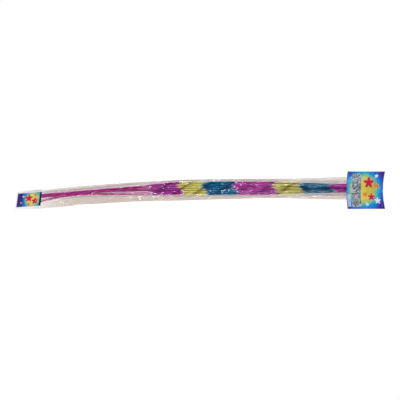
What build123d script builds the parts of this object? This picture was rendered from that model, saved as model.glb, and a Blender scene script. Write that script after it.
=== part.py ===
"""A flat retail pack of six long paper-wrapped sparklers in a film bag with a header card."""
from build123d import *
import math
import os

# Sparkler, lengths measured from the end of its handle
SPARKLER_LENGTH = 914.4
STICK_DIAMETER = 2.3
HANDLE_PAPER = 0.3
CHARGE_DIAMETER = 4.9
CHARGE_PAPER = 0.35
BARE_END = 30.0
SHOULDER_START = 338.0
SHOULDER_LENGTH = 110.0
SHOULDER_OVERLAP = 12.0
TWIST_LENGTH = 40.0
TWIST_NECK = 14.0
TWIST_NECK_DIAMETER = 3.0
TWIST_END_DIAMETER = 2.0
STICK_SHORTFALL = 6.0

# How the six lie in the bag, from the lowest in plan to the highest
STAGGER = (0.0, 3.0, -2.0, 4.0, 1.0, -1.0)
STRAY = 0
RIDERS = (1, 4)
HANDLE_END_Y = -20.5
HANDLE_END_PITCH = 2.0
STRAY_END_Y = -41.0
STRAY_BEND = 103.0
STRAY_BEND_DROP = 5.0
GATHER = 153.0
GATHER_Y = -7.75
FAN_MIDDLE = 300.0
PAIR = 2
PAIR_PITCH = 4.2
SPLIT_Y = -3.2
SPLIT_GAP = 5.0
FAN_END = 418.0
HEAD_Y = 5.3
RIDE_RUN = 350.0
CLOSE_RUN = 235.0
CLOSED_RUN = 80.0
BEND_REACH = 20.0

# Slack that lets each sparkler slide lengthwise
TRAVEL_BACK = 3.0
TRAVEL_FORWARD = 4.0

# Film bag: flaps are the film beyond the sparklers, low side and high side in plan
FILM = 0.25
SEAM = 1.5
END_SEAL = 3.5
END_FLAP = 4.0
OPEN_FLAP_LOW = 8.0
OPEN_FLAP_HIGH = 6.0
STRAY_FLAPS = (26.0, 12.0)
GATHER_FLAPS = (25.0, 13.0)
HANDLE_FLAPS = (18.0, 10.5)
FAN_FLAPS = (15.0, 5.0)
RIDE_FLAPS = (11.3, 6.5)
CLOSE_FLAPS = (8.2, 8.2)
CLOSING_FLAPS = (14.2, 12.3)
MOUTH_FLAPS = (18.7, 18.7)
MOUTH_RAMP = 14.0

# Cards
CARD = 0.35
HEADER_LENGTH = 101.6
HEADER_WIDTH = 101.6
HEADER_OVERLAP = 38.0
HEADER_FALL = 26.0
FOLD_DRAW = 6.0
EDGE_BOW = 4.0
MOUTH_SETBACK = 11.0
INSERT_LENGTH = 66.0
INSERT_WIDTH = 37.0
INSERT_MIDDLE = 14.0
INSERT_Y = -25.5
INSERT_TURN = 4.0
INSERT_SKEW = 0.2
INSERT_RAMP = 12.0

# Staples
WIRE = 0.4
CROWN = 12.0
CLINCH = 4.0
STAPLE_SPREAD = 32.0
STAPLE_FROM_FOLD = 17.0

# Clearances
LAYER_GAP = 0.05
REST_GAP = 0.3
TOP_ROOM = 0.5
SIDE_ROOM = 1.6
CARD_ROOM = 0.6
HEADER_ROOM = 0.45
HANDLE_GAP = 0.45
HEAD_GAP = 0.5
HOLE_GAP = 0.15
FOOT_ROOM = 1.0
CUT_OVERRUN = 1.0

# Shares that say how the sparklers nest: sideways step of the handles, first part of the climb
NEST_SHARE = 0.55
CLIMB_SHARE = 0.75

# Radii of the nested layers
STICK_R = STICK_DIAMETER / 2
HANDLE_BORE_R = STICK_R + LAYER_GAP
HANDLE_R = HANDLE_BORE_R + HANDLE_PAPER
CHARGE_R = CHARGE_DIAMETER / 2
CHARGE_BORE_R = STICK_R + LAYER_GAP
WRAP_BORE_R = CHARGE_R + LAYER_GAP
HEAD_R = WRAP_BORE_R + CHARGE_PAPER
TAIL_BORE_R = HANDLE_R + LAYER_GAP
TAIL_R = TAIL_BORE_R + CHARGE_PAPER

# Spacing of the handles in two staggered layers and of the charges in one row
HANDLE_STEP = 2 * HANDLE_R + HANDLE_GAP
HANDLE_PITCH = NEST_SHARE * HANDLE_STEP
LAYER_RISE = math.sqrt(HANDLE_STEP**2 - HANDLE_PITCH**2)
HEAD_PITCH = 2 * HEAD_R + HEAD_GAP
RIDE_HEIGHT = math.sqrt(HEAD_PITCH**2 - (HEAD_PITCH / 2) ** 2) + REST_GAP
CLIMB = CLIMB_SHARE * RIDE_HEIGHT

# Levels of the stacked sheets
INSERT_BASE = FILM + LAYER_GAP
HEADER_BASE = WIRE + LAYER_GAP
MOUTH_BASE = HEADER_BASE + CARD + LAYER_GAP
HEADER_FLAT_TOP = MOUTH_BASE + 2 * (FILM + LAYER_GAP) + CARD
LOW_Z = INSERT_BASE + CARD + REST_GAP + HANDLE_R
HEAD_Z = FILM + REST_GAP + HEAD_R
INSERT_TOP = LOW_Z + LAYER_RISE + HANDLE_R + REST_GAP + CARD

# The pack's middle, measured like the sparklers from the handle end
HEADER_EDGE = SPARKLER_LENGTH - HEADER_OVERLAP
FOLD = HEADER_EDGE + HEADER_LENGTH
TURN_COS = math.cos(math.radians(INSERT_TURN))
TURN_SIN = math.sin(math.radians(INSERT_TURN))
END_HALF_WIDTH = INSERT_WIDTH / 2 + END_FLAP
END_REACH = INSERT_LENGTH / 2 + END_SEAL + INSERT_SKEW * END_HALF_WIDTH
BAG_END = INSERT_MIDDLE - END_REACH * TURN_COS + END_HALF_WIDTH * TURN_SIN
MIDDLE = (BAG_END + FOLD) / 2


def closed_row_y(index):
    """Sideways place of a charge in the closed row, with each rider between its neighbours."""
    if index in RIDERS:
        return (closed_row_y(index - 1) + closed_row_y(index + 1)) / 2
    row = [other for other in range(len(STAGGER)) if other not in RIDERS]
    return HEAD_Y + (row.index(index) - (len(row) - 1) / 2) * HEAD_PITCH


def mouth_rise(run):
    """Rise of the charges, at a distance from their tips, onto the header card's lower panel."""
    return MOUTH_BASE * (CLOSE_RUN - run) / (CLOSE_RUN - HEADER_OVERLAP)


def split_fan_y(index):
    """Sideways place of a handle where the lowest pair has parted from the others."""
    reach = SPLIT_GAP / 2 + HANDLE_R
    if index < PAIR:
        return SPLIT_Y - reach - (PAIR - 1 - index) * PAIR_PITCH
    return SPLIT_Y + reach + (index - PAIR) * 2 * HANDLE_R


def corners(index):
    """Corner points of one sparkler's centre line, as distance from the handle end, y and z."""
    side = index - (len(STAGGER) - 1) / 2
    gather_y = GATHER_Y + side * HANDLE_PITCH
    head_y = HEAD_Y + side * HEAD_PITCH
    layer_z = LOW_Z + LAYER_RISE * (index % 2)
    closed_y = closed_row_y(index)
    climb = CLIMB if index in RIDERS else 0.0
    ride = RIDE_HEIGHT if index in RIDERS else 0.0
    if index == STRAY:
        handle = [(0.0, STRAY_END_Y, layer_z), (STRAY_BEND, gather_y - STRAY_BEND_DROP, layer_z)]
    else:
        handle = [(0.0, HANDLE_END_Y + side * HANDLE_END_PITCH, layer_z)]
    return handle + [
        (GATHER, gather_y, layer_z),
        (FAN_MIDDLE, split_fan_y(index), layer_z),
        (FAN_END, head_y, HEAD_Z),
        (SPARKLER_LENGTH - RIDE_RUN, head_y, HEAD_Z),
        (SPARKLER_LENGTH - CLOSE_RUN, head_y, HEAD_Z + climb),
        (SPARKLER_LENGTH - CLOSED_RUN, closed_y, HEAD_Z + mouth_rise(CLOSED_RUN) + ride),
        (SPARKLER_LENGTH, closed_y, HEAD_Z + mouth_rise(0.0) + ride),
    ]


def ease(distance):
    """A ramp from 0 that turns smoothly into the distance itself."""
    if abs(distance) >= BEND_REACH:
        return max(distance, 0.0)
    return (distance + BEND_REACH) ** 2 / (4 * BEND_REACH)


def centre(index, along):
    """Point of one sparkler's centre line, with every corner eased into a bend."""
    points = corners(index)
    place = [points[0][1], points[0][2]]
    for axis in (0, 1):
        slope = 0.0
        for near, far in zip(points, points[1:]):
            new_slope = (far[axis + 1] - near[axis + 1]) / (far[0] - near[0])
            ramp = along if near is points[0] else ease(along - near[0])
            place[axis] += (new_slope - slope) * ramp
            slope = new_slope
    return Vector(along - MIDDLE, place[0], place[1])


def bend_stations(index):
    """Distances along a sparkler where its bends need cross-sections."""
    shares = (-1.0, -0.5, 0.0, 0.5, 1.0)
    return [point[0] + BEND_REACH * share for point in corners(index)[1:-1] for share in shares]


def radius_at(profile, along):
    """Radius of a profile of (distance, radius) points, straight between them."""
    for (near, near_r), (far, far_r) in zip(profile, profile[1:]):
        if along <= far:
            return near_r + (far_r - near_r) * (along - near) / (far - near)
    return profile[-1][1]


def round_body(index, profile):
    """Solid of round sections along one sparkler's centre line."""
    ends = [point[0] for point in profile]
    bends = [s for s in bend_stations(index) if ends[0] < s < ends[-1]]
    bends = [s for s in bends if min(abs(s - end) for end in ends) > CUT_OVERRUN]
    sections = []
    for along in sorted(ends + bends):
        ahead = centre(index, along + CUT_OVERRUN) - centre(index, along - CUT_OVERRUN)
        plane = Plane(origin=centre(index, along), x_dir=(0, 0, 1), z_dir=ahead)
        sections.append(plane * Circle(radius_at(profile, along)))
    return loft(sections, ruled=True)


def tube(index, start, end, outer_r, bore_r):
    """Open tube along a sparkler."""
    bore = round_body(index, [(start - CUT_OVERRUN, bore_r), (end + CUT_OVERRUN, bore_r)])
    return round_body(index, [(start, outer_r), (end, outer_r)]) - bore


def stick(index):
    start = STAGGER[index]
    end = start + SPARKLER_LENGTH - TWIST_LENGTH - STICK_SHORTFALL
    return round_body(index, [(start, STICK_R), (end, STICK_R)])


def handle_wrap(index):
    start = STAGGER[index] + BARE_END
    end = STAGGER[index] + SHOULDER_START + SHOULDER_OVERLAP
    return tube(index, start, end, HANDLE_R, HANDLE_BORE_R)


def charge(index):
    start = STAGGER[index] + SHOULDER_START + SHOULDER_LENGTH
    end = STAGGER[index] + SPARKLER_LENGTH - TWIST_LENGTH - STICK_SHORTFALL / 2
    return tube(index, start, end, CHARGE_R, CHARGE_BORE_R)


def charge_wrap(index):
    """Tissue tube with a long shoulder at the handle and a twisted tail at the tip."""
    tail = STAGGER[index] + SHOULDER_START
    full = tail + SHOULDER_LENGTH
    tip = STAGGER[index] + SPARKLER_LENGTH
    neck = tip - TWIST_LENGTH + TWIST_NECK
    outside = [
        (tail, TAIL_R),
        (full, HEAD_R),
        (tip - TWIST_LENGTH, HEAD_R),
        (neck, TWIST_NECK_DIAMETER / 2),
        (tip, TWIST_END_DIAMETER / 2),
    ]
    inside = [
        (tail - CUT_OVERRUN, TAIL_BORE_R),
        (tail, TAIL_BORE_R),
        (full, WRAP_BORE_R),
        (tip - TWIST_LENGTH, WRAP_BORE_R),
        (neck - TWIST_NECK / 3, CHARGE_PAPER),
    ]
    return round_body(index, outside) - round_body(index, inside)


def insert_point(along, across):
    """Plan place of a point of the insert card, which lies skewed and turned."""
    skewed = along + INSERT_SKEW * across
    x = INSERT_MIDDLE - MIDDLE + skewed * TURN_COS - across * TURN_SIN
    y = INSERT_Y + skewed * TURN_SIN + across * TURN_COS
    return x, y


def straight_across(along):
    """Plan places on a line straight across the pack."""
    return lambda across: (along - MIDDLE, across)


def skewed_across(along):
    """Plan places on a line across the insert card, parallel to its fold."""
    return lambda across: insert_point(along, across)


def girth(along):
    """Outer radius of the sparklers at a distance from the handle end."""
    return HANDLE_R if along < SHOULDER_START else HEAD_R


def bundle_edges(along):
    """Low and high sides of the six sparklers in plan."""
    places = [centre(index, along).Y for index in range(len(STAGGER))]
    return min(places) - girth(along), max(places) + girth(along)


def bundle_tops(along):
    """Heights of the row and of the riders above it."""
    tops = [centre(index, along).Z + girth(along) for index in range(len(STAGGER))]
    return max(top for index, top in enumerate(tops) if index not in RIDERS), max(tops)


def bundle_station(along, flaps, base=0.0, level=None):
    """One cross-section of the bag over the sparklers; level is where its height is taken."""
    low, high = bundle_edges(along)
    row_top, crown_top = bundle_tops(along if level is None else level)
    riders_y = [centre(index, along).Y for index in RIDERS]
    return {
        "place": straight_across(along),
        "edges": (low - flaps[0], high + flaps[1]),
        "shoulders": (low - SIDE_ROOM, high + SIDE_ROOM),
        "crown": (min(riders_y) - HEAD_R, max(riders_y) + HEAD_R),
        "base": base,
        "heights": (row_top + TOP_ROOM, crown_top + TOP_ROOM),
    }


def insert_station(along, flap_low, flap_high, raised):
    """One cross-section of the bag over the insert card."""
    half = INSERT_WIDTH / 2
    height = INSERT_TOP + REST_GAP if raised else FILM + LAYER_GAP
    return {
        "place": skewed_across(along),
        "edges": (-half - flap_low, half + flap_high),
        "shoulders": (-half - CARD_ROOM, half + CARD_ROOM),
        "crown": (-half / 2, half / 2),
        "base": 0.0,
        "heights": (height, height),
    }


def flattened(station, along):
    """The same cross-section further along, with the front film lying on the back film."""
    flat = station["base"] + FILM + LAYER_GAP
    return {**station, "place": straight_across(along), "heights": (flat, flat)}


def bag_stations():
    """Cross-sections of the bag from its sealed end to its mouth."""
    half = INSERT_LENGTH / 2
    ride = SPARKLER_LENGTH - RIDE_RUN
    close = SPARKLER_LENGTH - CLOSE_RUN
    closed = SPARKLER_LENGTH - CLOSED_RUN
    furthest = SPARKLER_LENGTH + max(STAGGER) + TRAVEL_FORWARD
    stations = [
        insert_station(-half - END_SEAL, END_FLAP, END_FLAP, False),
        insert_station(-half - FOOT_ROOM, END_FLAP, END_FLAP, False),
        insert_station(-half + INSERT_RAMP - FOOT_ROOM, END_FLAP, END_FLAP, True),
        insert_station(half, OPEN_FLAP_LOW, OPEN_FLAP_HIGH, True),
        bundle_station(STRAY_BEND, STRAY_FLAPS),
        bundle_station(GATHER, GATHER_FLAPS),
        bundle_station(FAN_MIDDLE, HANDLE_FLAPS),
        bundle_station(FAN_END + BEND_REACH, FAN_FLAPS),
        bundle_station(ride - BEND_REACH, RIDE_FLAPS),
        bundle_station(close, CLOSE_FLAPS),
        bundle_station((close + closed) / 2, CLOSING_FLAPS),
        bundle_station(HEADER_EDGE - MOUTH_RAMP, MOUTH_FLAPS, level=furthest),
    ]
    mouth = bundle_station(HEADER_EDGE - MOUTH_RAMP, MOUTH_FLAPS, MOUTH_BASE, furthest)
    stations.append({**mouth, "place": straight_across(HEADER_EDGE - EDGE_BOW - LAYER_GAP)})
    stations.append({**mouth, "place": straight_across(furthest)})
    stations.append(flattened(mouth, furthest + HEADER_FALL))
    stations.append(flattened(mouth, FOLD - MOUTH_SETBACK))
    return stations


def face_through(points):
    return make_face(Polyline(*points, close=True))


def front_section(station):
    """Front film's cross-section: seam, shoulder, crown, shoulder, seam."""
    low, high = station["edges"]
    low_shoulder, high_shoulder = station["shoulders"]
    low_crown, high_crown = station["crown"]
    base = station["base"] + FILM + LAYER_GAP
    shoulder_z, crown_z = station["heights"]
    over = [
        (low, base),
        (low + SEAM, base),
        (low_shoulder, shoulder_z),
        (low_crown, crown_z),
        (high_crown, crown_z),
        (high_shoulder, shoulder_z),
        (high - SEAM, base),
        (high, base),
    ]
    inset = [0.0, FILM, FILM, 0.0, 0.0, -FILM, -FILM, 0.0]
    top = [(*station["place"](y), z + FILM) for y, z in over]
    under = [(*station["place"](y + step), z) for (y, z), step in zip(over, inset)]
    return face_through(top + under[::-1])


def back_section(station):
    """Back film's cross-section, flat from edge to edge."""
    low, high = (station["place"](y) for y in station["edges"])
    base = station["base"]
    return face_through([(*low, base), (*high, base), (*high, base + FILM), (*low, base + FILM)])


def staple_places():
    """Middles of the two staples, across the flattened mouth of the bag."""
    low, high = bundle_edges(HEADER_EDGE - MOUTH_RAMP)
    middle = (low + high) / 2
    x = FOLD - STAPLE_FROM_FOLD - MIDDLE
    return [(x, middle - STAPLE_SPREAD / 2), (x, middle + STAPLE_SPREAD / 2)]


def staple(x, y):
    """Crown on the front panel, two legs through all sheets, ends clinched inwards below."""
    crown_z = HEADER_FLAT_TOP + LAYER_GAP
    side = (CROWN - WIRE) / 2
    wire = Pos(x, y, crown_z + WIRE / 2) * Box(WIRE, CROWN, WIRE)
    for sign in (-1, 1):
        height = crown_z + WIRE
        wire += Pos(x, y + sign * side, height / 2) * Box(WIRE, WIRE, height)
        inner = y + sign * (CROWN - CLINCH) / 2
        wire += Pos(x, inner, WIRE / 2) * Box(WIRE, CLINCH, WIRE)
    return wire


def leg_holes():
    """Square holes that the staple legs pass through."""
    width = WIRE + 2 * HOLE_GAP
    side = (CROWN - WIRE) / 2
    block = Box(width, width, 4 * HEADER_FLAT_TOP)
    places = [(x, y + sign * side) for x, y in staple_places() for sign in (-1, 1)]
    return [Pos(x, y, HEADER_FLAT_TOP) * block for x, y in places]


def folded_section(place, opening, fold, low, flat_top, ramp, raised_top):
    """Cross-section of a folded card: lower panel, round fold, and an upper panel with a ramp."""
    way = 1 if fold > opening else -1
    middle = (low + flat_top) / 2
    outer_r = (flat_top - low) / 2
    turn = fold - way * outer_r

    def at(along, z):
        return (*place(along), z)

    def quarter(radius, start, end):
        spots = [math.radians(angle) for angle in (start, (start + end) / 2, end)]
        return ThreePointArc(
            *[at(turn + way * radius * math.cos(a), middle + radius * math.sin(a)) for a in spots]
        )

    inner_r = outer_r - CARD
    upper = [(turn, flat_top), (ramp[0], flat_top), (ramp[1], raised_top), (opening, raised_top)]
    lower = [(along, z - CARD) for along, z in reversed(upper)]
    edges = [
        Line(at(opening, low), at(turn, low)),
        quarter(outer_r, -90, 0),
        quarter(outer_r, 0, 90),
        Polyline(*[at(along, z) for along, z in upper + lower]),
        quarter(inner_r, 90, 0),
        quarter(inner_r, 0, -90),
        Polyline(at(turn, low + CARD), at(opening, low + CARD), at(opening, low)),
    ]
    return make_face(Wire([edge for part in edges for edge in part.edges()]))


def insert_card():
    """Slip folded over the handle ends, with its fold towards the bag's sealed end."""
    half = INSERT_LENGTH / 2
    flat_top = INSERT_BASE + 2 * CARD + LAYER_GAP
    sections = []
    for across in (-INSERT_WIDTH / 2, INSERT_WIDTH / 2):
        sections.append(
            folded_section(
                lambda along, across=across: insert_point(along, across),
                half,
                -half,
                INSERT_BASE,
                flat_top,
                (-half + CARD, -half + INSERT_RAMP),
                INSERT_TOP,
            )
        )
    return loft(sections, ruled=True)


def header_heights():
    """Places across the header card and the height of its front panel over the bag there."""
    furthest = SPARKLER_LENGTH + max(STAGGER) + TRAVEL_FORWARD
    bag = bundle_station(HEADER_EDGE - MOUTH_RAMP, MOUTH_FLAPS, MOUTH_BASE, furthest)
    shoulder_z, crown_z = (z + FILM + HEADER_ROOM + CARD for z in bag["heights"])
    half = HEADER_WIDTH / 2
    return [
        (-half, HEADER_FLAT_TOP),
        (bag["edges"][0] - CARD_ROOM, HEADER_FLAT_TOP),
        (bag["shoulders"][0] - CARD_ROOM, shoulder_z),
        (bag["crown"][0] - CARD_ROOM, crown_z),
        (bag["crown"][1] + CARD_ROOM, crown_z),
        (bag["shoulders"][1] + CARD_ROOM, shoulder_z),
        (bag["edges"][1] + CARD_ROOM, HEADER_FLAT_TOP),
        (half, HEADER_FLAT_TOP),
    ]


def header_card():
    """Card folded over the bag's mouth; both its open edge and its fold bow towards the bag."""
    furthest = SPARKLER_LENGTH + max(STAGGER) + TRAVEL_FORWARD - MIDDLE
    ramp = (furthest + HEADER_FALL + CARD_ROOM, furthest + CARD_ROOM)
    sections = []
    for y, raised_top in header_heights():
        inward = 1 - (2 * y / HEADER_WIDTH) ** 2
        sections.append(
            folded_section(
                lambda along, y=y: (along, y),
                HEADER_EDGE - MIDDLE - EDGE_BOW * inward,
                FOLD - MIDDLE - FOLD_DRAW * inward,
                HEADER_BASE,
                HEADER_FLAT_TOP,
                ramp,
                raised_top,
            )
        )
    return loft(sections, ruled=True) - leg_holes()


def build():
    """All nodes of the pack by name."""
    stations = bag_stations()
    nodes = {
        "bag_back_film": loft([back_section(s) for s in stations], ruled=True) - leg_holes(),
        "bag_front_film": loft([front_section(s) for s in stations], ruled=True) - leg_holes(),
        "insert_card": insert_card(),
        "header_card": header_card(),
        "header_staples": Compound(children=[staple(x, y) for x, y in staple_places()]),
    }
    for index in range(len(STAGGER)):
        name = f"sparkler_{index + 1}"
        nodes[f"{name}_stick"] = stick(index)
        nodes[f"{name}_handle_wrap"] = handle_wrap(index)
        nodes[f"{name}_charge"] = charge(index)
        nodes[f"{name}_charge_wrap"] = charge_wrap(index)
    return nodes


os.makedirs("parts", exist_ok=True)
for node, shape in build().items():
    export_step(shape, f"parts/{node}.step")
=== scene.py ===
"""Dresses the frame of a pack of sparklers: creased film bag, printed cards and dyed tissue wraps."""
import math
from typing import NamedTuple

import bpy
import numpy as np
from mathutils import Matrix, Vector, noise
from mathutils.bvhtree import BVHTree


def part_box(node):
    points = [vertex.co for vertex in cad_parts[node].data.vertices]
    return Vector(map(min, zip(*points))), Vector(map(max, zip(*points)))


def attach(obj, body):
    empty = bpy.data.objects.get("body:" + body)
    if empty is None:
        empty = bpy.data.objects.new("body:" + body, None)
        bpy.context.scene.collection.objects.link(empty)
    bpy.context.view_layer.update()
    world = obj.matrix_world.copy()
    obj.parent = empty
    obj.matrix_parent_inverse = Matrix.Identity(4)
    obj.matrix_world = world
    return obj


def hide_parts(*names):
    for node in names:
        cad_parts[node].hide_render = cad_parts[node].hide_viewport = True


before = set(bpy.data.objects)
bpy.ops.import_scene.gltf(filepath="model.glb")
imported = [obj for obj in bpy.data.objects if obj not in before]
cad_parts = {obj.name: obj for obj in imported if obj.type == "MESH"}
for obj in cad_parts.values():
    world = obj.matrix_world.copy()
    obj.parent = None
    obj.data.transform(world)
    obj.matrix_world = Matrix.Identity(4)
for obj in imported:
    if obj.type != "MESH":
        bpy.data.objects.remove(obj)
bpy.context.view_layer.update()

COUNT = 6
SPARKLERS = [f"sparkler_{n}" for n in range(1, COUNT + 1)]

# Everything is in metres, and scales of surface detail are per metre.
NOISE_RANGE = (0.3, 0.7)  # most values of a noise texture lie between these
LOOSE = 0.00012  # the tissue stands this far off its CAD node
RING_INSET = 0.0004  # a slanting end ring is only whole this far in from the end of its node
CUT_INSET = 0.0001  # the films and the header card end this far inside their nodes


class Winding(NamedTuple):
    """A tissue wrap: one strip wound round, so its outer edge stands up as a spiral seam."""

    layer: str
    pitch: float  # length of sparkler for one turn of the seam
    lap: float  # step at the strip's outer edge
    crease: float  # depth of the paper's small creases
    paper: float  # thickness of the whole wrap
    step: float  # between two rings of points
    sides: int


CHARGE = Winding("charge", pitch=0.056, lap=0.00020, crease=0.00006, paper=0.00035, step=0.0012, sides=24)
HANDLE = Winding("handle", pitch=0.030, lap=0.00012, crease=0.00004, paper=0.0003, step=0.0016, sides=16)
INNER_STEP = 8  # one inner ring for this many outer ones
PAPER_CREASES = (45, 7)  # per metre along and per turn
SEED_STEP = 7.3  # sets the seams and creases of two sparklers apart

# Each sparkler's dye is shifted along by its own amount.
DYE_SHIFTS = (0.006, 0.007, 0.001, -0.006, -0.008, 0.002)

# The dye bands along the charges: colour and the place where each ends.
MAGENTA = (0.37, 0.032, 0.29)
YELLOW = (0.52, 0.475, 0.13)
BLUE = (0.001, 0.105, 0.23)
DYE_BANDS = (
    (MAGENTA, -0.053),
    (YELLOW, 0.0115),
    (BLUE, 0.0965),
    (MAGENTA, 0.203),
    (YELLOW, 0.274),
    (BLUE, 0.357),
    (MAGENTA, 0.450),
)
DYE_START = -0.150
DYE_BLEND = 0.012  # length over which two bands run into each other
DYE_RAG = 0.012  # how far their ragged ends reach
RAG_SCALE = (70.0, 1.5)  # of the ragged ends, per metre along and per turn
# Where two bands meet: the share of both dyes laid over each other, of each one alone, and of bare paper.
MEETING = (0.3, 0.25, 0.2)
HANDLE_MAGENTA = (0.56, 0.055, 0.32)
HANDLE_SHADE = 0.75  # share of that colour in the handles' darker patches
HANDLE_PATCHES = 40.0
UNDYED = (0.85, 0.80, 0.78)
THIN_DYE_AND_SHEEN = 0.04  # share of the paper's own colour in the pale streaks, partly thin dye and partly a painted sheen
THIN_DYE_AND_SHEEN_RANGE = (0.52, 0.70)  # values of the streaks over which the dye gets thin and the painted sheen grows
STRIP_TURN = 0.018  # length of one turn of the strip
# Scales of the dye's streaks and patches and the paper's fibres, along and round a sparkler.
STREAKS = (45.0, 260.0, 1.0)
PATCHES = (55.0, 110.0, 1.0)
FIBRES = (900.0, 2600.0, 1.0)
STREAK_SHARE = 0.6  # of the dye's unevenness; the patches make the rest
UNEVEN_RANGE = (0.36, 0.64)  # its values between which the dye's strength changes
DYE_STRENGTH = (1.5, 0.65)  # most and least; a stronger dye is darker and deeper
STREAK_RELIEF = 1.5  # of the streaks, where that of the fibres is 1
TISSUE_BUMP = (0.35, 0.0002)  # strength and depth
TISSUE_FIBRE_RANGE = (0.2, 0.8)
TISSUE_ROUGHNESS = (0.55, 0.85)
TISSUE_SHINE = 0.03
# The seam: a dark line multiplied over the dye along the strip's outer edge, partly painted shadow of the
# raised edge and partly the seam's own dark line.
SEAM_PAINTED_SHADOW = (0.05, 0.04, 0.03)
SEAM_CORE = 0.060  # in turns from the strip's edge
SEAM_FADE = 0.070
SEAM_STRETCHES = 25.0  # the seam and its painted shadow show in some stretches only
SEAM_SHADOW_SHOWN = (0.34, 0.44)  # values of a noise between which a stretch appears

# The film bag.
FILM_STEP = 0.0014  # between two rows of the film's points
FILM_COLUMNS = 80
FILM_ROOM = 0.00060  # between the film and what it lies on
FILM_PLY = 0.00006
SLIDE_ROWS = range(-3, 5)  # the film leaves room for sparklers that slide by so many rows of its points
SEAM_WIDTH = 0.0015
SEAM_PLIES = 3  # height of the welded seams
SEAL_LENGTH = 0.0035
SEAL_RAMP = 0.006  # the film gains its waves and creases over this length from the seal
HEADER_RAMP = 0.01  # and loses them over this length before the header card
DRAPE_BLUR = 2  # the drape is averaged over so many rows on each side
SAG_SHARE = 0.03  # sag of the film between two sparklers, as a share of the span
TENT_SAG = 0.50  # more sag where one lies higher, as a share of the difference
FLAP_SLACK = 0.30  # sag between an outer sparkler and the bag's edge, as a share of the span
WELD_REACH = 0.004  # waves and creases fade over this width beside the bag's edges
CREASE_ANGLE = 6  # degrees between two faces that make a sharp crease
WAVE_SEED = 5
WAVE_TURN = 20  # degrees
WAVE_REACH = 1.2  # the waves' grid is this many times as long as the bag
WAVE_SIZE = (0.030, 0.012)
WAVE_HEIGHT = 0.0010
WAVE_JITTER = 0.75
HELD_WAVE = 0.3  # share of the waves' height that is left where the film touches something
BACK_WAVE = 0.25  # share of it in the back film
CREASE_SEED = 11
# Where the film is crumpled: the place's x and y, its spread in each, and the most creases it may have.
CRUMPLED = (
    (-0.400, -0.026, 0.022, 0.006, 40),
    (-0.375, -0.004, 0.020, 0.005, 8),
    (-0.233, -0.010, 0.006, 0.003, 6),
    (-0.160, -0.020, 0.035, 0.006, 12),
    (-0.094, 0.009, 0.006, 0.003, 6),
    (0.052, -0.001, 0.012, 0.004, 24),
    (0.066, -0.0125, 0.030, 0.0015, 10),
    (0.100, 0.000, 0.010, 0.004, 22),
    (0.165, 0.015, 0.035, 0.003, 7),
    (0.140, -0.002, 0.020, 0.005, 8),
    (0.185, -0.009, 0.015, 0.003, 12),
    (0.236, 0.0195, 0.012, 0.002, 8),
    (0.308, 0.009, 0.022, 0.005, 14),
    (0.310, -0.004, 0.022, 0.004, 14),
    (0.290, -0.016, 0.035, 0.004, 45),
    (0.335, 0.026, 0.030, 0.004, 14),
    (0.000, 0.000, 0.250, 0.016, 30),
)
CREASE_LENGTH = (0.0030, 0.0080)  # least and most, from the middle of a crease to its end
CREASE_WIDTH = (0.0016, 0.0026)  # from its ridge to its foot
CREASE_SLOPE = (21, 26)  # degrees
CREASE_TURN = 25  # degrees, spread about the length of the bag
FILM_GLOSS = 0.040  # both faces of the film reflect
FILM_GLOSS_ROUGHNESS = 0.06
GRAZING_POWER = 5.0  # how sharply gloss grows towards a grazing view
FILM_ROUGHNESS = 0.5
FILM_RIPPLES = 150.0
FILM_BUMP = (0.1, 0.001)  # strength and depth
FILM_COLOUR = (0.70, 0.585, 0.52)
FILM_CLOUDS = 45.0
CLOUD_RANGE = (0.35, 0.65)
CLOUD_SHADE = 0.9  # share of the film's colour in a cloud's darkest place
CLOUD_HAZE = (0.9, 1.1)
FILM_SPECKS = 480.0
SPECK_HAZE = (0.65, 1.35)
FILM_CLEAR = 0.005  # film is clear where it touches something and hazy where it hangs free
HAZE_REACH = 0.003  # haze is whole this far from what the film touches
HAZE_BETWEEN = 0.6  # share of the haze that shows between two sparklers
# Haze of free film at some places along the bag.
HAZE_PLACES = (-0.46, -0.36, -0.25, 0.0, 0.15, 0.25, 0.36)
HAZE = (0.13, 0.35, 0.47, 0.66, 0.58, 0.29, 0.34)
UPPER_HAZE = 0.7  # share of it in the bag's upper half, which is drawn tighter

# The two printed cards, each folded in two. A print's coordinates are in heights of its card, from the
# card's lower left.
BOARD = 0.00035
FOLD_STEPS = 5
HEADER_FOLD = 0.0007  # the header's panels stop this far before the fold's outside
INSERT_FOLD = 0.0010
HEADER_GRID = (60, 60)  # rows and columns of points on each panel
INSERT_GRID = (40, 24)
CARD_MARGIN = 0.01  # a panel's height is read no nearer to its edges than this share of it
FOLD_MARGIN = 0.03  # the same at its fold
CARD_BLUR = 2  # heights are averaged over so many points on each side
INSERT_ASPECT = 1.78
BACK_ART = 2.0  # the back's print lies this far to the right of the front's
STAR_POINTS = 5
STAR_WAIST = 0.42  # a star's inner corners, as a share of its radius
STAR_SOFT = 0.01  # width over which its edge fades
CRIMSON = (0.50, 0.008, 0.055)
SUNNY = (0.76, 0.60, 0.07)
ORANGE = (0.66, 0.16, 0.02)
SILVER = (0.62, 0.68, 0.72)
GLOW_MIDDLE = (0.46, 0.52)
GLOW_SIZE = (0.68, 0.70)
GLOW_WANDER = 0.12  # how far the glow's rings stray from round
GLOW_WANDER_SCALE = 6.0  # in the height of the header
GLOW = (
    (0.30, (0.56, 0.47, 0.06)),
    (0.46, (0.44, 0.45, 0.09)),
    (0.56, (0.10, 0.38, 0.34)),
    (0.64, (0.010, 0.27, 0.58)),
    (0.80, (0.010, 0.10, 0.46)),
    (0.93, (0.055, 0.015, 0.24)),
)
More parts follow.
